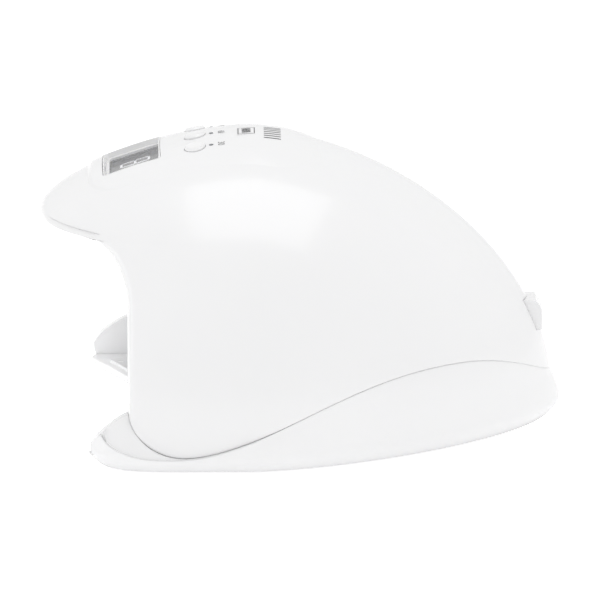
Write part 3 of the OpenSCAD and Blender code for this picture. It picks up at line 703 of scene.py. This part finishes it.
def panel_ring(inset, count=12):
    """The panel's rounded outline, moved inward."""
    half, length = PANEL_HALF - inset, (PANEL_BACK - PANEL_FRONT) - 2 * inset
    corner = max(PANEL_CORNER - inset, 1.0)
    middle = (PANEL_BACK + PANEL_FRONT) / 2
    arcs = rounded_outline(2 * half, length, corner, count)
    points = []
    for (x0, y0), (x1, y1) in zip(arcs, arcs[1:] + arcs[:1]):
        steps = max(1, int(round(math.hypot(x1 - x0, y1 - y0) / PANEL_STRIDE)))
        points += [(x0 + (x1 - x0) * k / steps, y0 + (y1 - y0) * k / steps) for k in range(steps)]
    return np.array([(x, y + middle) for x, y in points])


def panel_rise_at(inset, front):
    """Height of the panel's skin: a short step at the front, a long soft blend along the other edges."""
    step = ease(clamp01(inset / PANEL_STEP))
    blend = ease(clamp01(inset / PANEL_BLEND))
    return (PANEL_RISE + PANEL_SINK) * (step * front + blend * (1.0 - front)) - PANEL_SINK


def build_panel():
    """Raised control panel, with a step at its front and soft edges elsewhere."""
    outer = panel_ring(0.0)
    middle = np.array([0.0, (PANEL_BACK + PANEL_FRONT) / 2])
    front = 1.0 - ease(along(outer[:, 1], PANEL_FRONT + 0.5, PANEL_FRONT + 14.0))
    radius = np.linalg.norm(outer - middle, axis=1)
    insets = np.concatenate([np.linspace(0.0, PANEL_STEP, 9), np.linspace(3.4, PANEL_BLEND, 22),
                             np.linspace(19.5, 31.0, 12)])
    tops, under = [], []
    for inset in insets:
        plan = middle + (outer - middle) * (1.0 - inset / radius)[:, None]
        base = dome_height(plan[:, 0], plan[:, 1])
        tops.append(np.column_stack([plan, base + panel_rise_at(inset, front)]))
        under.append(np.column_stack([plan, base - 2.0 * PANEL_SINK]))
    panel = closed_skin("panel_cover", under[::-1] + tops)
    recalculate(panel)
    cut_controls(panel)
    sharp_above(panel, 32.0)
    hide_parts("control_panel")
    return finish_piece(panel, "hood", "shell_white")


# ---------------------------------------------------------------- base

def base_skin(name, g, low, high, rows, cols=360):
    """Closed solid bounded by the base's outer surface, moved outward by g."""
    z = np.linspace(low, high, rows)
    a = np.linspace(0.0, 2.0 * math.pi, cols, endpoint=False)
    rings = []
    for level in z:
        r = base_radius(a, level, g)
        rings.append(np.column_stack([r * np.cos(a), CREST_Y + r * np.sin(a), np.full(cols, level)]))
    return closed_skin(name, rings)


def rim_outline():
    """Side view of the base's rim: the toe in front, then the seam."""
    ys = np.linspace(CORNER_Y, HOOD_REAR + 10.0, 90)[1:]
    seam = [(y, float(seam_at(y)) - SEAM_GAP / 2) for y in ys]
    return [(-100.0, -5.0)] + round_corners(TOE, TOE_PASSES) + seam + [(FAR, SEAM_REAR), (FAR, -5.0)]


def door_arch(grow, count=60):
    """Front view of the hand opening, made larger by grow."""
    half, top = DOOR_HALF + grow, DOOR_TOP + grow
    t = np.linspace(0.0, math.pi, count)
    x = half * np.sign(np.cos(t)) * np.abs(np.cos(t)) ** (2 / DOOR_CURVE)
    z = top * np.abs(np.sin(t)) ** (2 / DOOR_CURVE)
    return [(half, -10.0)] + list(zip(x, z)) + [(-half, -10.0)]


# Side views, as distance and height: the toe of the rim, and the limit of the horns
TOE = [(-92.5, 6.0), (-90.6, 9.0), (-88.4, 12.3), (-86.9, 14.0), (-85.9, 14.2), (-85.1, 12.7),
       (-82.8, 10.4), (-78.2, 8.2), (-73.0, 6.7), (-66.0, 5.8), (-59.0, 5.7), (-54.5, 5.82)]
HORN_SIDE = [(-93.5, 3.4), (-93.5, 5.0), (-90.4, 8.4), (-88.5, 12.3), (-84.6, 15.9), (-80.7, 18.8),
             (-77.0, 20.9), (-73.5, 22.0), (-52.0, 22.0)]
HORN_FRONT, HORN_BACK, HORN_REAR = -93.0, -54.0, -66.0
HORN_INNER, HORN_LOW, HORN_TOP = 73.2, 3.3, 26.0
HORN_SLOPE, HORN_SINK, HORN_GAP, HORN_T = 0.6, 0.45, 0.9, 2.0
RIM_T, TOE_MERGE, TOE_OVERLAP = 1.1, (84.0, 88.0), 5.0
TOE_PASSES, HORN_PASSES = 3, 2
HORN_STATIONS, HORN_STEPS, HORN_LIMIT = 80, 30, -0.8


def wall_x(y):
    """Half width of the base's front at the belt."""
    return BASE_HALF * oval((CREST_Y - y) / (CREST_Y - BASE_FRONT), FRONT_CURVE)


def build_horn(side):
    """Front corner of the base, from the arch of the hand opening out to the wall."""
    toe = np.array(round_corners(TOE, TOE_PASSES))
    rings = []
    for y in np.linspace(HORN_BACK, HORN_FRONT, HORN_STATIONS):
        merge = TOE_OVERLAP * float(along(-y, *TOE_MERGE))
        outer = max(HORN_INNER + 3.0, float(wall_x(y)) - RIM_T + merge)
        rim = float(np.interp(y, toe[:, 0], toe[:, 1])) - HORN_SINK
        height = rim + (HORN_TOP - rim) * np.linspace(0.0, 1.0, HORN_STEPS)
        across = np.maximum(HORN_INNER + 1.0, outer - HORN_SLOPE * (height - rim))
        x = np.concatenate([[HORN_INNER, outer], across, [HORN_INNER]])
        z = np.concatenate([[HORN_LOW, HORN_LOW], height, [HORN_TOP]])
        rings.append(np.column_stack([side * x, np.full(len(x), y), z]))
    horn = closed_skin("horn", rings)
    recalculate(horn)
    ys = np.linspace(FACE_Y + 0.01, HORN_BACK + 2.0, 90)
    under = [(y, float(seam_at(y)) - SEAM_GAP / 2) for y in ys]
    kept = prism("kept", [(-100.0, 3.0), (-100.0, under[0][1])] + under + [(under[-1][0], 3.0)],
                 -FAR, FAR, "YZ")
    cut(kept, prism("arch", door_arch(-HORN_GAP), -95.0, HORN_REAR, "XZ"), "UNION")
    cut(horn, kept, "INTERSECT")
    side_view = round_corners(HORN_SIDE, HORN_PASSES) + [(-52.0, 3.4)]
    cut(horn, prism("side_view", side_view, -FAR, FAR, "YZ"), "INTERSECT")
    cut(horn, base_skin("horn_limit", HORN_LIMIT, 1.0, 30.0, 40), "INTERSECT")
    cut(horn, prism("inner_arch", door_arch(-HORN_GAP - HORN_T), -96.0, -40.0, "XZ"))
    return horn


BASE_TOP = 37.0


def bay_tool():
    """Bay between the horns, undercut below its rounded lip."""
    x = np.linspace(BAY_HALF, -BAY_HALF, 121)
    levels = [(-1.0, BAY_TUCK), (DECK_Z - 0.9, 0.0), (DECK_Z - 0.45, 0.05), (DECK_Z - 0.15, 0.22),
              (DECK_Z, 0.6), (DECK_Z + 0.1, 0.9), (BASE_TOP, 0.9)]
    rings = []
    for z, back in levels:
        y = bay_y(x) + back
        ring = np.column_stack([x, y, np.full(len(x), z)])
        front = BASE_FRONT - 20.0
        rings.append(np.vstack([[BAY_HALF, front, z], ring, [-BAY_HALF, front, z]]))
    tool = closed_skin("bay", rings)
    recalculate(tool)
    return tool


WELL_INSET, WELL_FRONT, SEAT_ROOM, POST_RADIUS = -3.5, -58.0, 0.1, 5.0


def build_base():
    """The base's shell: rim, hollow, screw well, horns, posts, bay and magnet seats."""
    shell = base_skin("base_outer", 0.0, BASE_LOW, BASE_TOP, 90)
    cut(shell, prism("rim", rim_outline(), -FAR, FAR, "YZ"), "INTERSECT")
    cut(shell, base_skin("hollow", -BASE_WALL, DECK_Z, BASE_TOP + 1.0, 60))
    a = np.linspace(0.0, 2.0 * math.pi, 180, endpoint=False)
    r = belt_radius(a, 0.0, WELL_INSET)
    well = [(x, max(y, WELL_FRONT)) for x, y in zip(r * np.cos(a), CREST_Y + r * np.sin(a))]
    cut(shell, prism("well", well, -1.0, DECK_Z - DECK_T, "XY"))
    for side in (-1.0, 1.0):
        cut(shell, build_horn(side), "UNION")
    inner = [(x, max(z, DECK_Z + 0.02)) for x, z in door_arch(-HORN_GAP - HORN_T)]
    cut(shell, prism("tip_trim", inner, -100.0, -70.0, "XZ"))
    for x, y, radius, low, high in base_posts():
        cut(shell, cylinder_at("post", Matrix.Translation(place_m(x, y, 0.0)), radius, low, high), "UNION")
    cut(shell, bay_tool())
    for low, high in magnet_boxes():
        middle = (low + high) / 2
        place = Matrix.Translation((middle[0], middle[1], low[2]))
        cut(shell, cylinder_at("magnet_seat", place, (high[0] - low[0]) / 2 / MM + SEAT_ROOM, -0.05, 5.0, 48))
    sharp_above(shell, 38.0)
    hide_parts("base_shell")
    return finish_piece(shell, "base", "base_white")


def solid_boxes(node_name):
    """Bounding boxes of the separate solids in a CAD node."""
    mesh = frame["nodes"][node_name].data
    bm = bmesh.new()
    bm.from_mesh(mesh)
    bmesh.ops.remove_doubles(bm, verts=bm.verts, dist=1e-6)
    left, boxes = set(bm.verts), []
    while left:
        stack, seen = [left.pop()], []
        while stack:
            v = stack.pop()
            seen.append(v.co.copy())
            for e in v.link_edges:
                o = e.other_vert(v)
                if o in left:
                    left.remove(o)
                    stack.append(o)
        pts = np.array(seen)
        boxes.append((pts.min(axis=0), pts.max(axis=0)))
    bm.free()
    return boxes


def magnet_boxes():
    """Boxes of the base's magnets, in a fixed order."""
    return sorted(solid_boxes("base_magnets"), key=lambda b: tuple(np.round(b[0], 4)))


def base_posts():
    """Posts under the magnets: centre, radius, and lowest and highest levels."""
    posts = []
    for low, high in magnet_boxes():
        x, y = (low[:2] + high[:2]) / 2 / MM
        posts.append((x, y - ROW_SHIFT, POST_RADIUS, DECK_Z - 0.1, high[2] / MM))
    return posts


# ---------------------------------------------------------------- display and print

BEZEL_RIM, COLLAR_T = 1.6, 0.5
BEZEL_STEPS, BEZEL_UNDER, LONG_SIDE = 20, 0.12, 3.0
OUTER_CORNER, COLLAR_CORNER, WINDOW_CORNER = 1.8, 1.4, 1.2


def bezel_ring(inset, radius):
    """The display frame's outline moved inward, with its straight sides cut into short lengths."""
    arcs = rounded_outline(DISPLAY_W - 2 * inset, DISPLAY_L - 2 * inset, radius)
    points = []
    for (x0, y0), (x1, y1) in zip(arcs, arcs[1:] + arcs[:1]):
        steps = BEZEL_STEPS if math.hypot(x1 - x0, y1 - y0) > LONG_SIDE else 1
        points += [(x0 + (x1 - x0) * k / steps, y0 + (y1 - y0) * k / steps) for k in range(steps)]
    return points


def skin_over(place, x, y):
    """Point straight above (x, y) of a tilted frame that lies just under the panel's skin."""
    lift = 0.0
    for _ in range(4):
        spot = place @ Vector((x * MM, y * MM, lift * MM)) / MM
        wanted = float(dome_height(spot.x, spot.y - ROW_SHIFT)) + PANEL_RISE - BEZEL_UNDER
        lift += wanted - spot.z
    return spot * MM


def build_bezel():
    """Display frame whose thin collar lines the opening and follows the panel's curve."""
    place = on_dome(0.0, DISPLAY_Y)
    low = PANEL_RISE - BEZEL_T - BEZEL_SINK
    shelf = low + BEZEL_T
    profile = [(0.0, OUTER_CORNER, low), (0.0, OUTER_CORNER, None), (COLLAR_T, COLLAR_CORNER, None),
               (COLLAR_T + 0.2, COLLAR_CORNER, shelf), (BEZEL_RIM, WINDOW_CORNER, shelf),
               (BEZEL_RIM, WINDOW_CORNER, low)]
    verts = []
    for inset, radius, level in profile:
        for x, y in bezel_ring(inset, radius):
            flat = place @ Vector((x * MM, y * MM, (level or 0.0) * MM))
            verts.append(skin_over(place, x, y) if level is None else flat)
    count = len(verts) // len(profile)
    bezel = new_piece("bezel_frame", verts, strip_faces(len(profile), count, wrap=True))
    recalculate(bezel)
    soften(bezel, 0.12, angle=50.0, segments=2)
    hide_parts("display_bezel")
    return finish_piece(bezel, "hood", "bezel_white")


# Bars of a figure: place in half widths and half heights, and turn in degrees
SEGMENTS = {
    "a": ((0.0, 1.0), 0.0), "g": ((0.0, 0.0), 0.0), "d": ((0.0, -1.0), 0.0),
    "f": ((-1.0, 0.5), 90.0), "b": ((1.0, 0.5), 90.0), "e": ((-1.0, -0.5), 90.0), "c": ((1.0, -0.5), 90.0),
}


FIGURE_W, FIGURE_H, BAR_W, BAR_T, BAR_END, FIGURE_X = 5.4, 5.6, 0.95, 0.15, 0.25, 5.0


def build_digits():
    """Two figures of seven bars each, lying just above the digit module."""
    bm = bmesh.new()
    lift = panel_depth()
    for centre in (-FIGURE_X, FIGURE_X):
        for (u, v), turn in SEGMENTS.values():
            length = FIGURE_W if turn == 0.0 else FIGURE_H
            add_bar(bm, centre + u * FIGURE_W / 2, v * FIGURE_H, turn, length, BAR_W)
    mesh = bpy.data.meshes.new("digit_bars")
    bm.transform(on_dome(0.0, DISPLAY_Y, lift))
    bm.to_mesh(mesh)
    bm.free()
    digits = bpy.data.objects.new("digit_bars", mesh)
    bpy.context.scene.collection.objects.link(digits)
    return finish_piece(digits, "hood", "digit_light")


def panel_depth():
    """How far the digit module's face lies below the dome."""
    return PANEL_RISE - BEZEL_T - BEZEL_SINK - 0.2


def add_bar(bm, x, y, turn, length, width):
    """One flat bar with pointed ends."""
    half, w, tip = length / 2 - BAR_END, width / 2, width / 2
    outline = [(-half, 0), (-half + tip, w), (half - tip, w), (half, 0), (half - tip, -w), (-half + tip, -w)]
    spin = Matrix.Rotation(math.radians(turn), 4, "Z")
    for level in (0.0, BAR_T):
        ring = [bm.verts.new(spin @ Vector((p * MM, q * MM, 0.0)) + Vector((x * MM, y * MM, level * MM)))
                for p, q in outline]
        if level == 0.0:
            base = ring
    bm.faces.new(ring)
    bm.faces.new(base[::-1])
    for k in range(6):
        bm.faces.new((base[k], base[(k + 1) % 6], ring[(k + 1) % 6], ring[k]))


PRINT_LIFT, PRINT_CUT = 0.03, 0.8
NUMBER_SIZE, NUMBER_GAP = 3.6, 3.6
# The two marks behind the buttons: their places, sizes and lines
BOX_X, BOX_Y, BOX_W, BOX_H, BOX_LINE = 2.0, -30.5, 9.0, 6.6, 0.35
BOX_FILL = (4, 0.8, 3.4, 0.8)
MARK_X, MARK_Y = 4.0, -20.5
MARK_BARS = (7, 0.9, 6.5, 1.5)


def flat_text(text, size):
    """Outline of a number as a flat mesh, centred, in millimetres."""
    curve = bpy.data.curves.new("print", "FONT")
    curve.body = text
    curve.size = size
    curve.align_x, curve.align_y = "CENTER", "CENTER"
    holder = bpy.data.objects.new("print", curve)
    bpy.context.scene.collection.objects.link(holder)
    bpy.context.view_layer.update()
    mesh = bpy.data.meshes.new_from_object(holder.evaluated_get(bpy.context.evaluated_depsgraph_get()))
    bpy.data.objects.remove(holder)
    return mesh


def print_on_panel(bm, flat, x, y):
    """Wraps flat print, given in millimetres, onto the panel at a point of the plan."""
    part = bmesh.new()
    part.from_mesh(flat)
    for v in part.verts:
        px, py = x + v.co.x, y + v.co.y
        v.co = place_m(px, py, float(dome_height(px, py)) + panel_top(px, py) + PRINT_LIFT)
    wrapped = bpy.data.meshes.new("wrapped")
    part.to_mesh(wrapped)
    part.free()
    bm.from_mesh(wrapped)


def panel_top(x, y):
    """Height of the panel's skin above the dome at a point well inside it."""
    inset = PANEL_HALF - abs(x)
    return float(panel_rise_at(inset, 0.0))


def bars_mesh(bars):
    """Flat bars, each given as left, low, right and high, cut into short lengths to follow the dome."""
    verts, faces = [], []
    for left, low, right, high in bars:
        across = max(1, round((right - left) / PRINT_CUT))
        up = max(1, round((high - low) / PRINT_CUT))
        base = len(verts)
        verts += [(left + (right - left) * i / across, low + (high - low) * k / up, 0.0)
                  for k in range(up + 1) for i in range(across + 1)]
        faces += [(base + k * (across + 1) + i, base + k * (across + 1) + i + 1,
                   base + (k + 1) * (across + 1) + i + 1, base + (k + 1) * (across + 1) + i)
                  for k in range(up) for i in range(across)]
    mesh = bpy.data.meshes.new("bars")
    mesh.from_pydata(verts, [], faces)
    return mesh


def box_bars(w, h, line):
    """Four bars that outline a box."""
    return [(-w / 2, -h / 2, w / 2, line - h / 2), (-w / 2, h / 2 - line, w / 2, h / 2),
            (-w / 2, -h / 2, line - w / 2, h / 2), (w / 2 - line, -h / 2, w / 2, h / 2)]


def row_bars(count, w, h, gap):
    """A row of plain bars that stands in for a larger printed mark."""
    pitch = w + gap
    return [((k - count / 2) * pitch, -h / 2, (k - count / 2) * pitch + w, h / 2) for k in range(count)]


def build_print():
    """Times beside the buttons, and two generic marks behind them."""
    bm = bmesh.new()
    for x, number in ((-BUTTON_PITCH, "90"), (0.0, "60"), (BUTTON_PITCH, "30")):
        print_on_panel(bm, flat_text(number, NUMBER_SIZE), x, PIPE_Y + NUMBER_GAP)
    print_on_panel(bm, bars_mesh(box_bars(BOX_W, BOX_H, BOX_LINE)), BOX_X, BOX_Y)
    print_on_panel(bm, bars_mesh(row_bars(*BOX_FILL)), BOX_X, BOX_Y)
    print_on_panel(bm, bars_mesh(row_bars(*MARK_BARS)), MARK_X, MARK_Y)
    mesh = bpy.data.meshes.new("panel_print")
    bm.to_mesh(mesh)
    bm.free()
    ink = bpy.data.objects.new("panel_print", mesh)
    bpy.context.scene.collection.objects.link(ink)
    return finish_piece(ink, "hood", "print_grey")


# ---------------------------------------------------------------- carried-over CAD nodes

def dress_cad_nodes():
    """Gives every CAD node the material of its slot."""
    for part in frame["record"]["subparts"]:
        obj = frame["nodes"][part["node"]]
        obj.data.materials.clear()
        obj.data.materials.append(MATERIALS[part["material_slot"]])


# ---------------------------------------------------------------- stage, light and camera

# Glow of the floor as the lamp and as the camera see it, and of the tent below and above
FLOOR_BOUNCE, FLOOR_SEEN = 0.26, 0.55
SKY_LOW, SKY_HIGH = 0.86, 0.83
FLOOR_HALF = 6.0
# Camera: target on the lamp, direction in degrees, distance in metres and lens in millimetres
TARGET_Y, TARGET_Z = -9.8, 45.9
AZIMUTH, ELEVATION, DISTANCE = 89.3, 14.1, 3.81
SENSOR, LENS = 36.0, 593.0


def build_floor():
    """Pale floor that the camera sees almost evenly white, while the lamp still gets a soft bounce."""
    mesh = bpy.data.meshes.new("floor")
    half = FLOOR_HALF
    corners = [(-half, -half, 0), (half, -half, 0), (half, half, 0), (-half, half, 0)]
    mesh.from_pydata(corners, [], [(0, 1, 2, 3)])
    floor = bpy.data.objects.new("floor", mesh)
    bpy.context.scene.collection.objects.link(floor)
    material, tree, shader = make_material("pale_floor")
    shader.inputs["Base Color"].default_value = (0.86, 0.86, 0.86, 1.0)
    shader.inputs["Roughness"].default_value = 0.9
    shader.inputs["Specular IOR Level"].default_value = 0.1
    shader.inputs["Emission Color"].default_value = (1.0, 1.0, 1.0, 1.0)
    seen = tree.nodes.new("ShaderNodeLightPath")
    glow = tree.nodes.new("ShaderNodeMapRange")
    glow.inputs["To Min"].default_value = FLOOR_BOUNCE
    glow.inputs["To Max"].default_value = FLOOR_SEEN
    tree.links.new(seen.outputs["Is Camera Ray"], glow.inputs["Value"])
    tree.links.new(glow.outputs["Result"], shader.inputs["Emission Strength"])
    floor.data.materials.append(material)


def area_light(name, place, target, size, power):
    """Soft rectangular light, placed and aimed in metres."""
    data = bpy.data.lights.new(name, "AREA")
    data.shape = "RECTANGLE"
    data.size, data.size_y = size
    data.energy = power
    lamp = bpy.data.objects.new(name, data)
    lamp.location = place
    lamp.rotation_euler = (Vector(target) - Vector(place)).to_track_quat("-Z", "Y").to_euler()
    bpy.context.scene.collection.objects.link(lamp)
    return lamp


def studio_world():
    """White tent: even light from all round."""
    world = bpy.data.worlds.new("studio")
    bpy.context.scene.world = world
    world.use_nodes = True
    tree = world.node_tree
    place = tree.nodes.new("ShaderNodeTexCoord")
    split = tree.nodes.new("ShaderNodeSeparateXYZ")
    ramp = tree.nodes.new("ShaderNodeMapRange")
    ramp.inputs["From Min"].default_value = -1.0
    ramp.inputs["From Max"].default_value = 1.0
    ramp.inputs["To Min"].default_value = SKY_LOW
    ramp.inputs["To Max"].default_value = SKY_HIGH
    tree.links.new(place.outputs["Generated"], split.inputs["Vector"])
    tree.links.new(split.outputs["Z"], ramp.inputs["Value"])
    tree.links.new(ramp.outputs["Result"], tree.nodes["Background"].inputs["Strength"])
    tree.nodes["Background"].inputs["Color"].default_value = (1.0, 1.0, 1.0, 1.0)


def build_light():
    """Tent, overhead softbox, low front light and two small unseen fills in the hand opening."""
    studio_world()
    area_light("overhead", (0.0, 0.3, 1.9), (0.0, 0.3, 0.0), (1.3, 1.5), 8.6)
    area_light("front", (0.12, -1.9, 0.45), (0.0, -0.1, 0.05), (0.7, 0.9), 2.2)
    for fill in (area_light("bay_fill", (0.03, -0.074, 0.066), (-0.08, -0.078, 0.01), (0.03, 0.03), 0.015),
                 area_light("low_fill", (0.0, -0.145, 0.015), (-0.06, -0.08, 0.025), (0.03, 0.03), 0.02)):
        fill.visible_camera = False
        fill.visible_glossy = False
    scene = bpy.context.scene
    scene.view_settings.view_transform = "Standard"
    scene.view_settings.look = "None"


def build_camera():
    """Far view with a long lens from the right side, slightly from above."""
    target = place_m(0.0, TARGET_Y, TARGET_Z)
    azimuth, elevation = math.radians(AZIMUTH), math.radians(ELEVATION)
    direction = Vector((math.sin(azimuth) * math.cos(elevation), -math.cos(azimuth) * math.cos(elevation),
                        math.sin(elevation)))
    data = bpy.data.cameras.new("camera")
    data.sensor_width = SENSOR
    data.lens = LENS
    data.clip_end = 100.0
    camera = bpy.data.objects.new("camera", data)
    camera.location = target + direction * DISTANCE
    camera.rotation_euler = direction.to_track_quat("Z", "Y").to_euler()
    bpy.context.scene.collection.objects.link(camera)
    bpy.context.scene.camera = camera


dress_cad_nodes()
build_hood()
build_panel()
build_base()
build_bezel()
build_digits()
build_print()
build_floor()
build_light()
build_camera()
